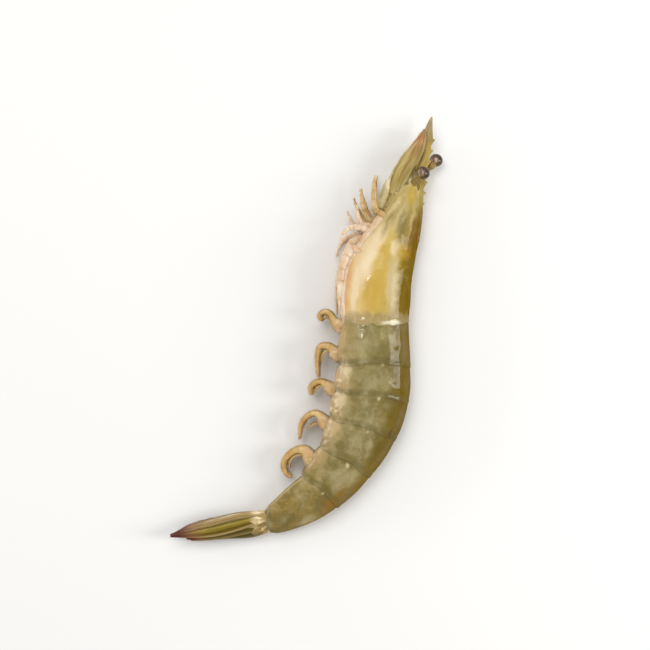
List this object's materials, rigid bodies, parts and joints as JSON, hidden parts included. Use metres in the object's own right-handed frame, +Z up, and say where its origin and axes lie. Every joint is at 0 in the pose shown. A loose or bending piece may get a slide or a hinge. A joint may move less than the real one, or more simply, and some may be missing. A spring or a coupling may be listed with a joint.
{
  "type": "raw whiteleg shrimp",
  "caption": "Whole raw whiteleg shrimp, head and shell on, lying on its side with the tail curled, slender legs and fan tail.",
  "frame": {"origin": "centre of the bounding box's base, on the surface that the shrimp lies on", "axes": "+Z up from the side it lies on to its shown left side; +Y towards the head; +X towards the back, with the belly and curled legs towards -X"},
  "size_m": [0.0816, 0.1264, 0.0163],
  "materials": {
    "shell": "wet translucent grey-green shell with yellow head",
    "tail_fan": "wet olive blades with red-brown tips",
    "antennal_scales": "wet olive-beige blade",
    "limbs": "wet pale pink translucent",
    "swimmerets": "wet tan with orange rims",
    "eyes": "glossy dark cornea"
  },
  "bodies": {
    "root": {"carapace": "shell", "abdomen_1": "shell", "abdomen_2": "shell", "abdomen_3": "shell", "abdomen_4": "shell", "abdomen_5": "shell", "abdomen_6": "shell", "telson": "tail_fan", "uropod_outer_left": "tail_fan", "uropod_outer_right": "tail_fan", "uropod_inner_left": "tail_fan", "uropod_inner_right": "tail_fan", "eye_left": "eyes", "eye_right": "eyes", "antennal_scale_left": "antennal_scales", "antennal_scale_right": "antennal_scales", "antennule_left": "limbs", "antennule_right": "limbs", "antenna_left": "limbs", "antenna_right": "limbs", "maxilliped_left": "limbs", "maxilliped_right": "limbs", "pereiopod_1_left": "limbs", "pereiopod_1_right": "limbs", "pereiopod_2_left": "limbs", "pereiopod_2_right": "limbs", "pereiopod_3_left": "limbs", "pereiopod_3_right": "limbs", "pereiopod_4_left": "limbs", "pereiopod_4_right": "limbs", "pereiopod_5_left": "limbs", "pereiopod_5_right": "limbs", "pleopod_1_left": "swimmerets", "pleopod_1_right": "swimmerets", "pleopod_2_left": "swimmerets", "pleopod_2_right": "swimmerets", "pleopod_3_left": "swimmerets", "pleopod_3_right": "swimmerets", "pleopod_4_left": "swimmerets", "pleopod_4_right": "swimmerets", "pleopod_5_left": "swimmerets", "pleopod_5_right": "swimmerets"}
  },
  "joints": []
}
